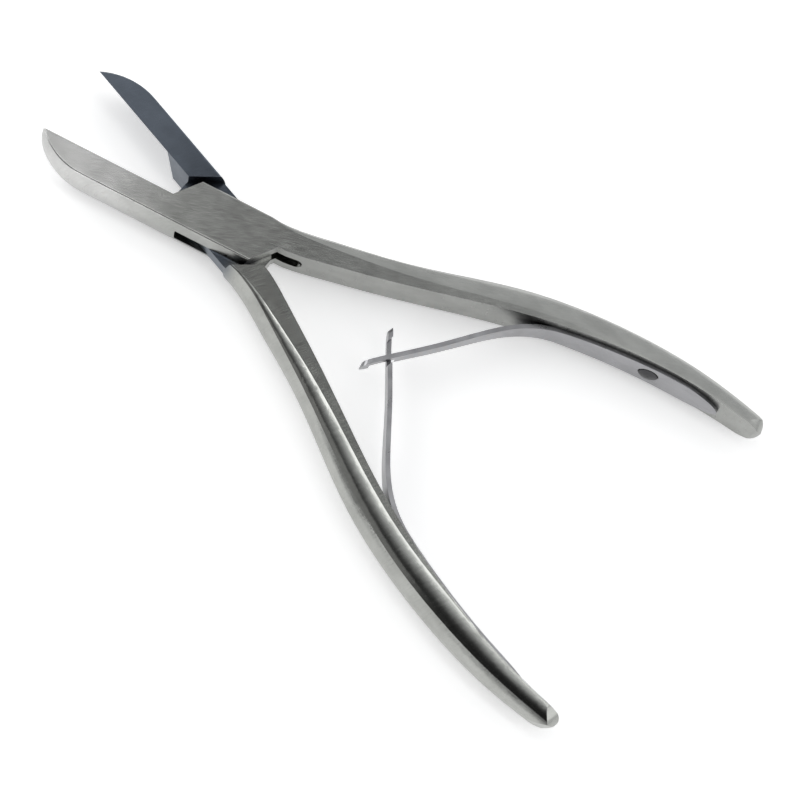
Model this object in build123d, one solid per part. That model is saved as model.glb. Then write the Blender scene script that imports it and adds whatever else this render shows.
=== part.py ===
"""Spring nipper with a box joint: two crossed levers, a flush pivot and two leaf springs.

Each lever is drawn with the tool shut: the pivot axis is Z, the blades point to -X, the
handles to +X, and the cutting edges meet on y = 0 at the top face. Lever A carries the
slotted box and lever B the web that turns inside it. The last function turns them apart
to the rest position and lifts the underside of the box to z = 0.
"""

import os
from math import atan2, degrees, hypot, radians, tan

from build123d import *

# Overall sizes, mm
BLADE_REACH = 36.0  # pivot axis to blade tip
HANDLE_REACH = 104.0  # pivot axis to handle end
THICKNESS = 7.7  # through the blades and the joint
OPEN_ANGLE = 24.0  # between the levers when the springs are relaxed

# Blades
SPINE_OFFSET = 4.8  # pivot line to the outer edge of a blade or of the box
SPINE_CROWN = 0.65  # how far the outer side bulges past that edge
EDGE_ROUND = 0.38  # worn round along the outer edges
TIP_ROUND = 12.6  # radius that brings the spine down to the tip
BEVEL_DEPTH = 3.6  # how far the hidden bevel cuts back under the edge
EDGE_LAND = 0.12  # height of the flat left along the cutting edge
HEEL = 14.3  # pivot axis to the end of the bevel at the underside
HEEL_RUNOUT = 2.2  # length over which the bevel fades at the heel
FACE_RELIEF = 0.03  # each lever's inner faces stand this far off y = 0

# Box joint
JAW_HALF = 10.5  # pivot axis to the inner corner of a shoulder
SHOULDER_X = 6.85  # pivot axis to the outer corner of a shoulder, along X
SHOULDER_GAP = 0.12  # between a cheek's end and the shoulder it meets when shut
WEB_THICKNESS = 3.0
WEB_BULGE = 0.3  # how far the web's sides stand past the outer edges of the box
WEB_CORNER_X, WEB_CORNER_Y = 10.0, 2.5  # the web's blunt corner beside the handle
SLOT_GAP = 0.05  # above and below the web
SLOT_SIDE_GAP = 0.2  # round the web in plan
SLOT_PAST_JAW = 4.8  # from the inner corner of the jaw to the slot's end in the handle
MOUTH_ROUND = 0.5  # upper and lower corners of the slot where it opens on the box's sides
SLOT_END_ROUND = 1.3  # the same at the slot's end in the handle
PIN_RADIUS = 2.0
PIN_FLARE = 0.5  # riveted flare at each end of the pin
PIN_RUNNING_GAP = 0.02  # radial, in the web

# Handles: each station's distance along the handle as a share of the way from the joint to
# the end, then its inner face, outer bulge, half height, crown of the outer side, and width
# of the round that leads from the flat top to that side.
JOINT_END = 7.0
HANDLE_STATIONS = [
    (0.00, FACE_RELIEF, SPINE_OFFSET + SPINE_CROWN, THICKNESS / 2, 0.65, 0.38),
    (0.12, 1.25, 7.10, THICKNESS / 2, 1.30, 1.20),
    (0.24, 3.90, 9.40, THICKNESS / 2, 1.05, 2.20),
    (0.36, 6.95, 12.75, THICKNESS / 2 + 0.05, 1.35, 2.90),
    (0.48, 9.90, 16.00, THICKNESS / 2 + 0.25, 1.55, 3.30),
    (0.60, 11.95, 17.70, THICKNESS / 2 + 0.60, 1.35, 3.50),
    (0.72, 13.00, 18.20, THICKNESS / 2 + 0.75, 1.40, 3.50),
    (0.84, 13.00, 17.60, THICKNESS / 2 + 0.35, 1.50, 2.80),
    (0.94, 11.95, 15.95, THICKNESS / 2 - 0.30, 1.40, 2.25),
    (1.00, 11.05, 14.60, THICKNESS / 2 - 0.80, 1.20, 1.95),
]
ROUND_SLOPE = 0.33  # fall of the top round over its width
SHOULDER_ROUND_FALL = 0.38
NOSE_DROP = 1.9  # from the middle of the last station but one to the handle's point, along Y
NOSE_MARGIN = 0.12  # by which the rounding of the end is wider than that station

# Leaf springs: shares are measured along the handle, as in the stations
LEAF_THICKNESS = 0.85
LEAF_SEAT = 0.15  # how deep the leaf's foot is let into the handle
LEAF_SEAT_GAP = 0.02
LEAF_FREE = [  # share, and distance from the handle's inner face to the middle of the leaf
    (0.222, 19.55), (0.308, 13.38), (0.373, 9.51), (0.438, 5.20), (0.495, 2.00), (0.548, 0.55),
]
LEAF_FOOT_START = 0.608  # share where the leaf settles on the handle
LEAF_FOOT_END = 0.907
LEAF_HALF_WIDTHS = [  # share and half width
    (0.361, 1.45), (0.485, 2.15), (0.619, 2.8), (0.753, 3.2), (0.814, 3.2),
]
LEAF_TIP_HALF_WIDTH = 1.35
LEAF_PAST_CROSSING = 4.0  # along X, from the crossing of the leaves to the tip
HOOK_LENGTH = 1.45  # full-width head left at the tip beyond the notch
NOTCH_PAST_CROSSING = 1.0  # how far the notch goes on towards the foot
NOTCH_GAP = 0.03
SCREW_SHARE = 0.758
SCREW_RADIUS = 1.0
SCREW_HEAD_RADIUS = 1.85
SCREW_HEAD_GAP = 0.3
SCREW_DOME = 0.4
SCREW_DEPTH = 3.0
SCREW_SINK = LEAF_THICKNESS - 0.1  # depth of the head's cone

HALF = THICKNESS / 2
WEB_HALF = WEB_THICKNESS / 2
FAR = 60.0  # reach of cutting tools past the part


def station_x(share):
    """X of a handle station."""
    return JOINT_END + share * (HANDLE_REACH - JOINT_END)


def side_section(plane, depth, both=False):
    """Section of a blade or box side: flat top and bottom, rounded edges, crowned side.

    The plane's X points inwards from the outer edge, and depth is how far the section goes.
    """
    fall = HALF - EDGE_ROUND
    side = [
        Line((depth / 2, HALF), (EDGE_ROUND, HALF)),
        TangentArc((EDGE_ROUND, HALF), (0, fall), tangent=(-1, 0)),
        ThreePointArc((0, fall), (-SPINE_CROWN, 0), (0, -fall)),
        TangentArc((EDGE_ROUND, -HALF), (0, -fall), tangent=(-1, 0)),
        Line((EDGE_ROUND, -HALF), (depth / 2, -HALF)),
    ]
    if both:
        other = [edge.mirror(Plane.YZ.offset(depth / 2)) for edge in side]
    else:
        other = [Line((depth / 2, -HALF), (depth, -HALF)), Line((depth, -HALF), (depth, HALF)),
                 Line((depth, HALF), (depth / 2, HALF))]
    return plane * make_face(side + other)


def cross_plane(x, y, inwards=1):
    """Plane across the tool at a point, with its X pointing along +Y or -Y and its Y up or down."""
    return Plane(origin=(x, y, 0), x_dir=(0, inwards, 0), z_dir=(inwards, 0, 0))


def prism(points, low, high):
    """Straight-sided block over a plan outline."""
    outline = make_face(Polyline(*points, close=True))
    return Pos(0, 0, low) * extrude(outline, high - low)


def shoulder_point(y, gap=0.0):
    """Point of the left shoulder line at a height y, moved towards the pivot by gap."""
    slope = (JAW_HALF - SHOULDER_X) / SPINE_OFFSET
    return (-(JAW_HALF - gap) + slope * y, y)


def beyond_shoulder(gap, low_y):
    """Everything to the left of the left shoulder line, above low_y."""
    near, far = shoulder_point(low_y, gap), shoulder_point(FAR, gap)
    return prism([near, far, (-FAR * 2, FAR), (-FAR * 2, low_y)], -FAR, FAR)


def blade():
    """Blade of lever A: cutting edge on y = 0, spine towards -Y."""
    spine = Line((0, -SPINE_OFFSET), (-BLADE_REACH + tip_run(), -SPINE_OFFSET))
    tip = CenterArc((-BLADE_REACH + tip_run(), -SPINE_OFFSET + TIP_ROUND), TIP_ROUND, -90, -75)
    section = side_section(cross_plane(0, -SPINE_OFFSET), SPINE_OFFSET + 2.0)
    bar = sweep(section, path=Wire([spine, tip]))
    bar -= Pos(-FAR, FAR / 2 - FACE_RELIEF, 0) * Box(3 * FAR, FAR, FAR)
    return bar - bevel()


def tip_run():
    """How far the tip's arc runs along X from the end of the spine to the tip."""
    return (TIP_ROUND**2 - (TIP_ROUND - SPINE_OFFSET) ** 2) ** 0.5


def bevel():
    """Space under the cutting edge, with its slanting end at the heel."""
    lean = BEVEL_DEPTH / (2 * HALF - EDGE_LAND)
    top, bottom = HALF - EDGE_LAND, -HALF - 1
    section = [(-FACE_RELIEF, top), (1, top), (1, bottom), (-lean * (top - bottom), bottom)]
    wedge = extrude(cross_plane(0, 0) * make_face(Polyline(*section, close=True)), -2 * FAR)
    slant = HEEL_RUNOUT / (2 * HALF)
    heel = [(-HEEL - slant * (HALF + FAR / 4), FAR / 4), (FAR, FAR / 4), (FAR, -FAR / 4),
            (-HEEL + slant * (FAR / 4 - HALF), -FAR / 4)]
    keep = extrude(Plane.XZ * make_face(Polyline(*heel, close=True)), FAR, both=True)
    return wedge - keep


def handle_section(share, inner, outer, half_height, crown, top_round):
    """D-shaped handle section: flat inner face, flat top, round, crowned outer side."""
    fall = min(max(top_round * ROUND_SLOPE, SHOULDER_ROUND_FALL), half_height / 2)
    edge = outer - crown
    crease = half_height - fall
    lines = [
        Line((inner, -half_height), (inner, half_height)),
        Line((inner, half_height), (edge - top_round, half_height)),
        TangentArc((edge - top_round, half_height), (edge, crease), tangent=(1, 0)),
        ThreePointArc((edge, crease), (outer, 0), (edge, -crease)),
        TangentArc((edge - top_round, -half_height), (edge, -crease), tangent=(1, 0)),
        Line((edge - top_round, -half_height), (inner, -half_height)),
    ]
    return cross_plane(station_x(share), 0) * make_face(lines)


def handle():
    """Handle of lever A, towards +Y."""
    root = extrude(handle_section(*HANDLE_STATIONS[0]), -JOINT_END / 2)
    body = loft([handle_section(*s) for s in HANDLE_STATIONS]) & rounded_end()
    other_side = Pos(0, FACE_RELIEF - FAR, 0) * Box(4 * FAR, 2 * FAR, 2 * FAR)
    return root + body - other_side - spring_seat()


def rounded_end():
    """Room for the handle that rounds its end, both in plan and from the side."""
    share, inner, outer, half_height, *_ = HANDLE_STATIONS[-2]
    length = HANDLE_REACH - station_x(share)
    behind = Pos(-2 * FAR, 0, 0) * Box(4 * FAR, 4 * FAR, 4 * FAR)
    outline = Ellipse(hypot(length, NOSE_DROP), (outer - inner) / 2 + NOSE_MARGIN)
    profile = Plane.XZ * Ellipse(length, half_height + NOSE_MARGIN)
    plan = Rot(0, 0, -degrees(atan2(NOSE_DROP, length))) * (behind + extrude(outline, FAR, both=True))
    side = behind + extrude(profile, FAR, both=True)
    return Pos(station_x(share), (inner + outer) / 2, 0) * (plan & side)


def inner_line():
    """The handle's inner face in plan."""
    return Spline(*[(station_x(s[0]), s[1]) for s in HANDLE_STATIONS])


def meet(curve, side):
    """Parameter of a curve where side, a function of a point, turns positive."""
    low, high = 0.0, 1.0
    for _ in range(40):
        middle = (low + high) / 2
        if side(curve @ middle) < 0:
            low = middle
        else:
            high = middle
    return (low + high) / 2


def at_x(curve, x):
    """Parameter of a curve that runs towards +X, where it reaches x."""
    return meet(curve, lambda point: point.X - x)


def leaf_line():
    """Middle of the leaf in plan, from beyond its hooked tip to the end of its foot."""
    face = inner_line()
    sink = LEAF_THICKNESS / 2 - LEAF_SEAT
    steps = 5
    step = (LEAF_FOOT_END + 0.01 - LEAF_FOOT_START) / steps
    foot = [(LEAF_FOOT_START + step * i, sink) for i in range(steps + 1)]
    points = []
    for share, drop in LEAF_FREE + foot:
        x = station_x(share)
        points.append((x, (face @ at_x(face, x)).Y - drop))
    return Spline(*points)


def crossing_x(line):
    """X at which the leaf crosses the other one, on the line midway between the levers."""
    slope = tan(radians(OPEN_ANGLE / 2))
    return (line @ meet(line, lambda point: point.Y + slope * point.X)).X


def leaf_shape(tip_x, grow=0.0):
    """Side view of the leaf in X and Z: widening from its round tip to its foot."""
    neck_x = tip_x + LEAF_TIP_HALF_WIDTH
    widths = [(neck_x, LEAF_TIP_HALF_WIDTH)]
    widths += [(station_x(share), half_width) for share, half_width in LEAF_HALF_WIDTHS]
    top = Spline(*[(x, half_width + grow) for x, half_width in widths])
    foot_x, foot_half = widths[-1]
    foot_length = station_x(LEAF_FOOT_END) - foot_x
    end = EllipticalCenterArc((foot_x, 0), foot_length + grow, foot_half + grow, -90, arc_size=180)
    tip = ThreePointArc(top @ 0, (tip_x - grow, 0), (neck_x, -LEAF_TIP_HALF_WIDTH - grow))
    return make_face([top, end, top.mirror(Plane.XZ), tip])


def leaf_band(grow=0.0):
    """The leaf with no notch or hole."""
    line = leaf_line()
    across = Plane(origin=line @ 0, x_dir=(line % 0).rotate(Axis.Z, 90), z_dir=line % 0)
    width = 2 * (HALF + 1)
    band = sweep(across * Rectangle(LEAF_THICKNESS + 2 * grow, width), path=line)
    shape = leaf_shape(crossing_x(line) - LEAF_PAST_CROSSING, grow)
    return band & extrude(Plane.XZ * shape, FAR, both=True)


def screw_axis():
    """Place of the spring screw: on the leaf's outer face, Z pointing away from the handle."""
    line = leaf_line()
    t = at_x(line, station_x(SCREW_SHARE))
    out = (line % t).rotate(Axis.Z, -90)
    return Plane(origin=line @ t + out * (LEAF_THICKNESS / 2), x_dir=(0, 0, 1), z_dir=out)


def spring_screw():
    """Countersunk screw with a low domed head."""
    lines = [
        Line((0, -SCREW_DEPTH), (SCREW_RADIUS, -SCREW_DEPTH)),
        Line((SCREW_RADIUS, -SCREW_DEPTH), (SCREW_RADIUS, -SCREW_SINK)),
        Line((SCREW_RADIUS, -SCREW_SINK), (SCREW_HEAD_RADIUS, 0)),
        TangentArc((0, SCREW_DOME), (SCREW_HEAD_RADIUS, 0), tangent=(1, 0)),
        Line((0, SCREW_DOME), (0, -SCREW_DEPTH)),
    ]
    return screw_axis() * revolve(Plane.XZ * make_face(lines), Axis.Z)


def countersink():
    """Hole in the leaf: it meets the screw's cone at the bottom and opens round its head."""
    throat = SCREW_RADIUS + LEAF_SEAT_GAP
    mouth = SCREW_HEAD_RADIUS + SCREW_HEAD_GAP
    outline = Polyline((0, -2), (throat, -2), (throat, -SCREW_SINK), (mouth, 0), (mouth, 1),
                       (0, 1), close=True)
    return screw_axis() * revolve(Plane.XZ * make_face(outline), Axis.Z)


def screw_hole():
    """Blind hole in the handle for the screw."""
    depth = SCREW_DEPTH + 0.5
    return screw_axis() * Pos(0, 0, -depth / 2) * Cylinder(SCREW_RADIUS, depth)


def leaf(keep_upper):
    """Leaf spring with its half-lap notch; keep_upper says which half the notch leaves."""
    crossing = crossing_x(leaf_line())
    start = crossing - LEAF_PAST_CROSSING + HOOK_LENGTH
    end = crossing + NOTCH_PAST_CROSSING
    low, high = (-FAR, NOTCH_GAP) if keep_upper else (-NOTCH_GAP, FAR)
    notch = prism([(start, -FAR), (end, -FAR), (end, FAR), (start, FAR)], low, high)
    return leaf_band() - countersink() - notch


def web():
    """The thin middle of lever B, with its ends run into the blade and the handle."""
    root = 1.5
    side = SPINE_OFFSET + WEB_BULGE
    shoulder_x = shoulder_point(side)[0]
    half = [
        (-JAW_HALF - root, FACE_RELIEF), (shoulder_x - root, side),
        (SHOULDER_X, side), (WEB_CORNER_X, WEB_CORNER_Y), (JAW_HALF, -FACE_RELIEF),
    ]
    return prism(half + [(-x, -y) for x, y in half], -WEB_HALF, WEB_HALF)


def slot():
    """The opening in lever A that the web turns in."""
    side = SPINE_OFFSET + WEB_BULGE + SLOT_SIDE_GAP
    wall = SHOULDER_X + 2 * SLOT_SIDE_GAP
    end = JAW_HALF + SLOT_SIDE_GAP
    reach = JAW_HALF + SLOT_PAST_JAW
    outline = [
        (-wall, -FAR / 4), (-wall, -side), (-end, -WEB_CORNER_Y), (-end, 0), (-FAR / 3, FAR / 4),
        (wall, FAR / 4), (wall, side), (reach, 0.8), (reach, -1), (FAR / 3, -FAR / 4),
    ]
    half = WEB_HALF + SLOT_GAP
    body = prism(outline, -half, half)
    mouths = [edge for edge in body.edges().filter_by(Axis.Y) if abs(edge.center().Y) > side]
    profile = Pos((reach - FAR) / 2, 0) * RectangleRounded(reach + FAR, 2 * half, SLOT_END_ROUND)
    return fillet(mouths, MOUTH_ROUND) & extrude(Plane.XZ * profile, FAR, both=True)


def pivot_pin():
    """Pivot pin with a riveted flare flush with each face of the box."""
    flare = Cone(PIN_RADIUS, PIN_RADIUS + PIN_FLARE, PIN_FLARE)
    top = Pos(0, 0, HALF - PIN_FLARE / 2) * flare
    return Cylinder(PIN_RADIUS, THICKNESS) + top + top.mirror(Plane.XY)


def spring_seat():
    """What the leaf and its screw take out of a handle."""
    return leaf_band(LEAF_SEAT_GAP) + screw_hole()


def lever_a(grip):
    """Lever with the slotted box; grip is its handle."""
    box = side_section(cross_plane(JAW_HALF, -SPINE_OFFSET), 2 * SPINE_OFFSET, both=True)
    box = extrude(box, -2 * JAW_HALF)
    past_shoulder = beyond_shoulder(SHOULDER_GAP, -FACE_RELIEF)
    box -= past_shoulder
    box -= past_shoulder.rotate(Axis.Z, 180)
    over_handle = [(JOINT_END, 2 * FACE_RELIEF), (FAR, 2 * FACE_RELIEF), (FAR, FAR), (JOINT_END, FAR)]
    box -= prism(over_handle, -FAR, FAR)
    return box + blade() + grip - slot() - pivot_pin()


def lever_b(grip):
    """Lever with the web; grip is lever A's handle, mirrored here."""
    outside = beyond_shoulder(0, -1)
    blade_end = blade().mirror(Plane.XZ) & outside
    handle_end = grip.mirror(Plane.XZ) & outside.rotate(Axis.Z, 180)
    return blade_end + handle_end + web() - Cylinder(PIN_RADIUS + PIN_RUNNING_GAP, THICKNESS)


def place(shape, turn):
    """Turn a shape from the shut position to rest and lift the box's underside to z = 0."""
    return Pos(0, 0, HALF) * Rot(0, 0, turn) * shape


def main():
    half_open = OPEN_ANGLE / 2
    grip = handle()
    nodes = {
        "lever_a": place(lever_a(grip), half_open),
        "pivot_pin": place(pivot_pin(), half_open),
        "spring_a": place(leaf(keep_upper=True), half_open),
        "spring_screw_a": place(spring_screw(), half_open),
        "lever_b": place(lever_b(grip), -half_open),
        "spring_b": place(leaf(keep_upper=False).mirror(Plane.XZ), -half_open),
        "spring_screw_b": place(spring_screw().mirror(Plane.XZ), -half_open),
    }
    os.makedirs("parts", exist_ok=True)
    for name, shape in nodes.items():
        export_step(shape, f"parts/{name}.step")


main()
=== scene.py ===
import math

import bmesh
import bpy
from mathutils import Matrix, Vector


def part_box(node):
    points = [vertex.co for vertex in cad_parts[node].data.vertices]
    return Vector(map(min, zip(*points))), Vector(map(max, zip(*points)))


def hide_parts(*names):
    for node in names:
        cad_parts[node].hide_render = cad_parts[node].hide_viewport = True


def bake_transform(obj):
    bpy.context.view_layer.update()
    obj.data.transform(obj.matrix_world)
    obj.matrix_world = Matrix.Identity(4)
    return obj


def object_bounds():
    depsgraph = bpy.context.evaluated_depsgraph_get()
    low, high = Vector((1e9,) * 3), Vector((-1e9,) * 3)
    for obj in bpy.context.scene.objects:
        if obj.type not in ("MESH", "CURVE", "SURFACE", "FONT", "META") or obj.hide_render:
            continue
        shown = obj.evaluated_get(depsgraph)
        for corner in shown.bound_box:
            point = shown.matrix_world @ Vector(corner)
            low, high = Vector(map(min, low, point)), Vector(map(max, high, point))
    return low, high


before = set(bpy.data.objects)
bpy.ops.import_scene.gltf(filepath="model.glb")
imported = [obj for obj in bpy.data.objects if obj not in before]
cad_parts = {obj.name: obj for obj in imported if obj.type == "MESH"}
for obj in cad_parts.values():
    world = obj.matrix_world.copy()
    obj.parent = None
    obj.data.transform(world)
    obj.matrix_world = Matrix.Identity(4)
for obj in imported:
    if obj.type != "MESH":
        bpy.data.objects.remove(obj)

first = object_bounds()

# Steel. Lengths are in metres.
NOISE_SPAN = (0.3, 0.7)  # the part of a noise that is spread over the whole change
BRUSH = (0.00012, 0.0025, 0.0025)
BRUSH_CONTRAST = 0.05
SATIN = (-0.03, 0.05)  # how far the brush marks move the roughness
CLOUD = (0.006, 0.004, 0.004)
CLOUD_DETAIL = 3.0
CLOUD_TONE = (0.92, 1.08)
# Painted shade: where ambient occlusion finds pieces close together, the colour goes to this dark
# tone, standing in for the shade in crevices and gaps.
CREVICE_SHADE = (0.02, 0.02, 0.025)
CREVICE_SHADE_REACH = 0.0022
CREVICE_SHADE_SPAN = (0.25, 0.7)  # how open a spot is where it is all painted shade, and where it has none
FLAT_SPAN = (0.66, 0.76)  # upright part of the normal where a face starts and ends to be flat

# Leaf springs
LEAF_CUTS = 80
LEAF_SHARP = math.radians(30)

# Floor
FLOOR_SIZE = 6
FLOOR_GAP = 0.0002
FLOOR_GLOW = 0.45

# World: its brightness by how high a direction points, and by how far towards +Y
HORIZON = (0.05, 0.5, 0.6, 0.02)
BANDS = [(-0.65, 0.015), (-0.42, 0.06), (-0.2, 0.35), (0.05, 0.9), (0.15, 0.95), (0.26, 0.2),
         (0.38, 0.17), (0.5, 0.8)]
WORLD_COLOUR = (0.98, 0.99, 1.0, 1)

# Lamps
MIDDLE = (0.03, 0, 0)  # middle of the tool
PANEL_HEIGHT = 1.0

# Camera
CAMERA_RIGHT = (0.78854, 0.58713, 0.18299)
CAMERA_BACK = (0.03517, -0.34011, 0.93973)
CAMERA_PLACE = (0.054003, -0.103988, 0.276955)
CAMERA_TURN = math.radians(0.4)  # the whole stand is turned about the pivot by this
SENSOR_WIDTH = 36
LENS = 73.85


def new_material(name):
    mat = bpy.data.materials.new(name)
    mat.use_nodes = True
    mat.node_tree.nodes.clear()
    return mat, mat.node_tree.nodes, mat.node_tree.links


def mix_colour(nodes, links, factor, low, high, blend="MIX"):
    """Colour mix; low and high are colours or sockets."""
    mix = nodes.new("ShaderNodeMix")
    mix.data_type = "RGBA"
    mix.blend_type = blend
    if isinstance(factor, float):
        mix.inputs[0].default_value = factor
    else:
        links.new(factor, mix.inputs[0])
    for socket, value in ((mix.inputs[6], low), (mix.inputs[7], high)):
        if isinstance(value, tuple):
            socket.default_value = (*value, 1)
        else:
            links.new(value, socket)
    return mix.outputs[2]


def ramp(nodes, links, value, start, end, low=0.0, high=1.0):
    """Smooth change from low to high while value goes from start to end."""
    node = nodes.new("ShaderNodeMapRange")
    node.interpolation_type = "SMOOTHSTEP"
    links.new(value, node.inputs[0])
    for i, number in enumerate((start, end, low, high)):
        node.inputs[i + 1].default_value = number
    return node.outputs[0]


def calculate(nodes, links, operation, *values):
    """Math node on one or two sockets."""
    node = nodes.new("ShaderNodeMath")
    node.operation = operation
    for i, value in enumerate(values):
        links.new(value, node.inputs[i])
    return node.outputs[0]


def axis_of(nodes, links, vector, axis):
    """The X, Y or Z of a vector socket."""
    split = nodes.new("ShaderNodeSeparateXYZ")
    links.new(vector, split.inputs[0])
    return split.outputs["XYZ".index(axis)]


def grain(nodes, links, coord, turn, scale, detail=5.0):
    """Noise drawn out along one direction of the row frame, as a brush leaves it."""
    stretch = nodes.new("ShaderNodeMapping")
    stretch.vector_type = "TEXTURE"
    stretch.inputs["Rotation"].default_value = (0, 0, math.radians(turn))
    stretch.inputs["Scale"].default_value = scale
    links.new(coord, stretch.inputs[0])
    noise = nodes.new("ShaderNodeTexNoise")
    noise.inputs["Scale"].default_value = 1.0
    noise.inputs["Detail"].default_value = detail
    links.new(stretch.outputs[0], noise.inputs[0])
    return noise.outputs[0]


def steel(name, base, roughness, turn=0.0, brush=BRUSH, blade=None, zone=None, polish=None):
    """Satin steel: a fine brushed grain, cloudy tone, and painted shade where pieces meet and in
    hollows.

    blade, if given, is the colour of the end towards -X, a painted reflection that makes the
    blade's flat lighter or darker than the rest, and zone is where it changes into base. polish,
    if given, is what the roughness is multiplied by on the faces that look up or down.
    """
    mat, nodes, links = new_material(name)
    out = nodes.new("ShaderNodeOutputMaterial")
    bsdf = nodes.new("ShaderNodeBsdfPrincipled")
    bsdf.inputs["Metallic"].default_value = 1.0
    links.new(bsdf.outputs[0], out.inputs[0])
    where = nodes.new("ShaderNodeTexCoord")
    coord = where.outputs["Object"]
    fine = grain(nodes, links, coord, turn, brush)
    cloud = grain(nodes, links, coord, 0, CLOUD, CLOUD_DETAIL)

    colour = base
    # Painted reflection: the blade end gets its own lighter or darker tone, standing in for what
    # its flat reflects.
    if blade:
        along = ramp(nodes, links, axis_of(nodes, links, coord, "X"), *zone)
        colour = mix_colour(nodes, links, along, blade, base)
    shade = ramp(nodes, links, fine, *NOISE_SPAN, 1 - BRUSH_CONTRAST, 1 + BRUSH_CONTRAST)
    patch = ramp(nodes, links, cloud, *NOISE_SPAN, *CLOUD_TONE)
    both = calculate(nodes, links, "MULTIPLY", shade, patch)
    colour = mix_colour(nodes, links, 1.0, colour, both, "MULTIPLY")
    # Painted shade: ambient occlusion darkens the colour in crevices and where pieces meet.
    hollow = nodes.new("ShaderNodeAmbientOcclusion")
    hollow.samples = 8
    hollow.inputs["Distance"].default_value = CREVICE_SHADE_REACH
    clear = ramp(nodes, links, hollow.outputs["AO"], *CREVICE_SHADE_SPAN)
    colour = mix_colour(nodes, links, clear, CREVICE_SHADE, colour)
    links.new(colour, bsdf.inputs["Base Color"])

    satin = ramp(nodes, links, fine, *NOISE_SPAN, roughness + SATIN[0], roughness + SATIN[1])
    if polish:
        upright = axis_of(nodes, links, where.outputs["Normal"], "Z")
        level = calculate(nodes, links, "ABSOLUTE", upright)
        flat = ramp(nodes, links, level, *FLAT_SPAN, 1.0, polish)
        satin = calculate(nodes, links, "MULTIPLY", satin, flat)
    links.new(satin, bsdf.inputs["Roughness"])
    return mat


# Painted reflection: lever A's blade is painted lighter and lever B's blade dark blue-grey,
# standing in for what their flats reflect.
lever_a_steel = steel("lever_a_steel", (0.36, 0.365, 0.35), 0.3, turn=-60, polish=0.7,
                      blade=(0.56, 0.56, 0.55), zone=(-0.022, -0.006))
lever_b_steel = steel("lever_b_steel", (0.4, 0.405, 0.385), 0.3, turn=-30, polish=0.55,
                      blade=(0.13, 0.15, 0.18), zone=(0.004, 0.008))
spring_steel = steel("spring_steel", (0.35, 0.35, 0.362), 0.3, brush=(0.004, 0.004, 0.0002))
screw_steel = steel("screw_steel", (0.07, 0.07, 0.073), 0.4, brush=(0.001, 0.001, 0.001))
looks = {"lever_a": (lever_a_steel, "lever_steel"), "pivot_pin": (lever_a_steel, "lever_steel"),
         "lever_b": (lever_b_steel, "lever_steel")}

for name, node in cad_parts.items():
    kind = (screw_steel, "screw_steel") if "screw" in name else (spring_steel, "spring_steel")
    material, slot = looks.get(name, kind)
    node.data.materials.clear()
    node.data.materials.append(material)


def bending_leaf(node):
    """Copy of a leaf spring with cuts along its length and smooth normals; the CAD leaf is hidden.
    """
    leaf = bpy.data.objects.new("bending_" + node.name, node.data.copy())
    bpy.context.collection.objects.link(leaf)
    low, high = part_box(node.name)
    mesh = bmesh.new()
    mesh.from_mesh(leaf.data)
    for i in range(1, LEAF_CUTS):
        x = low[0] + (high[0] - low[0]) * i / LEAF_CUTS
        parts = mesh.verts[:] + mesh.edges[:] + mesh.faces[:]
        bmesh.ops.bisect_plane(mesh, geom=parts, plane_co=(x, 0, 0), plane_no=(1, 0, 0), dist=1e-7)
    mesh.to_mesh(leaf.data)
    mesh.free()
    leaf.data.shade_smooth()
    leaf.data.set_sharp_from_angle(angle=LEAF_SHARP)
    leaf.modifiers.new("even_normals", "WEIGHTED_NORMAL").keep_sharp = True
    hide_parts(node.name)
    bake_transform(leaf)


bending_leaf(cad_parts["spring_a"])
bending_leaf(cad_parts["spring_b"])

# Floor
bpy.ops.mesh.primitive_plane_add(size=FLOOR_SIZE, location=(0, 0, first[0][2] - FLOOR_GAP))
floor = bpy.context.object
floor.name = "floor"
mat, nodes, links = new_material("floor")
out = nodes.new("ShaderNodeOutputMaterial")
bsdf = nodes.new("ShaderNodeBsdfPrincipled")
bsdf.inputs["Base Color"].default_value = (0.9, 0.9, 0.9, 1)
bsdf.inputs["Emission Color"].default_value = (1, 1, 1, 1)
bsdf.inputs["Emission Strength"].default_value = FLOOR_GLOW
bsdf.inputs["Roughness"].default_value = 0.9
links.new(bsdf.outputs[0], out.inputs[0])
floor.data.materials.append(mat)

# World: a glow at the horizon that fades upwards, or the band for the direction's Y, whichever
# is brighter. The bands run from dark on the camera's side to bright about straight up, with a
# darker gap before the far side, and the rounded sides of the steel reflect them in that order.
world = bpy.data.worlds.new("studio")
bpy.context.scene.world = world
world.use_nodes = True
nodes, links = world.node_tree.nodes, world.node_tree.links
direction = nodes.new("ShaderNodeTexCoord").outputs["Generated"]
low_down = ramp(nodes, links, axis_of(nodes, links, direction, "Z"), *HORIZON)
across = nodes.new("ShaderNodeMapRange")
links.new(axis_of(nodes, links, direction, "Y"), across.inputs[0])
across.inputs["From Min"].default_value = -1
bands = nodes.new("ShaderNodeValToRGB")
links.new(across.outputs[0], bands.inputs[0])
for i, (along, value) in enumerate(BANDS):
    stop = bands.color_ramp.elements[i] if i < 2 else bands.color_ramp.elements.new(1.0)
    stop.position = (along + 1) / 2
    stop.color = (value, value, value, 1)
glow = calculate(nodes, links, "MAXIMUM", low_down, bands.outputs[0])
links.new(glow, nodes["Background"].inputs["Strength"])
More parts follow.
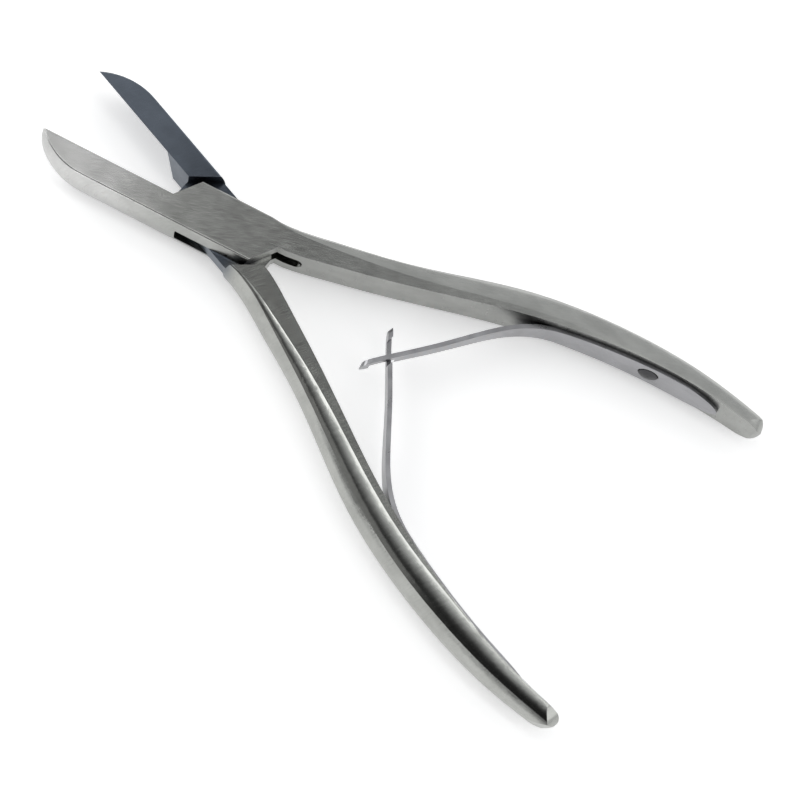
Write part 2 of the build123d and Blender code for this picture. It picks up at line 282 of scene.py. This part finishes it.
nodes["Background"].inputs["Color"].default_value = WORLD_COLOUR


def lamp(name, location, target, size, power):
    """Rectangular lamp that faces the target; power is in watts."""
    data = bpy.data.lights.new(name, "AREA")
    data.shape = "RECTANGLE"
    data.size, data.size_y = size
    data.energy = power
    obj = bpy.data.objects.new(name, data)
    obj.location = location
    aim = Vector(target) - Vector(location)
    obj.rotation_euler = aim.to_track_quat("-Z", "Y").to_euler()
    bpy.context.collection.objects.link(obj)


def panel(name, across, along, radiance):
    """Overhead box that fills these angles, in degrees from straight up, towards +X and +Y."""
    (x0, x1), (y0, y1) = [[math.tan(math.radians(a)) for a in pair] for pair in (across, along)]
    place = (MIDDLE[0] + (x0 + x1) / 2, (y0 + y1) / 2, PANEL_HEIGHT)
    area = (x1 - x0) * (y1 - y0)
    lamp(name, place, (*place[:2], 0), (x1 - x0, y1 - y0), radiance * math.pi * area)


lamp("left", (-1.6, -0.1, 0.9), MIDDLE, (1.6, 1.0), 11)
lamp("right", (1.6, 0.3, 0.9), MIDDLE, (1.6, 1.0), 3)
lamp("front_left", (-1.1, -1.5, 1.3), MIDDLE, (1.2, 1.2), 1.3)
lamp("edge", (-0.02, -0.314, 0.121), (-0.01, 0, 0.008), (0.12, 0.06), 0.12)
panel("strip", (-28, 35), (5.5, 11.5), 2.2)
panel("blade_box", (-28, -16), (12, 30), 0.55)
panel("grip_box", (-1, 25), (23, 31), 0.65)

# Camera
camera = bpy.data.objects.new("camera", bpy.data.cameras.new("camera"))
bpy.context.collection.objects.link(camera)
right = Vector(CAMERA_RIGHT).normalized()
back = Vector(CAMERA_BACK).normalized()
up = back.cross(right).normalized()
right = up.cross(back)
axes = Matrix((right, up, back)).transposed().to_4x4()
stand = Matrix.Translation(CAMERA_PLACE) @ axes
camera.matrix_world = Matrix.Rotation(CAMERA_TURN, 4, "Z") @ stand
camera.data.sensor_width = SENSOR_WIDTH
camera.data.lens = LENS
camera.data.clip_start = 0.01
bpy.context.scene.camera = camera

bpy.context.scene.view_settings.view_transform = "Standard"
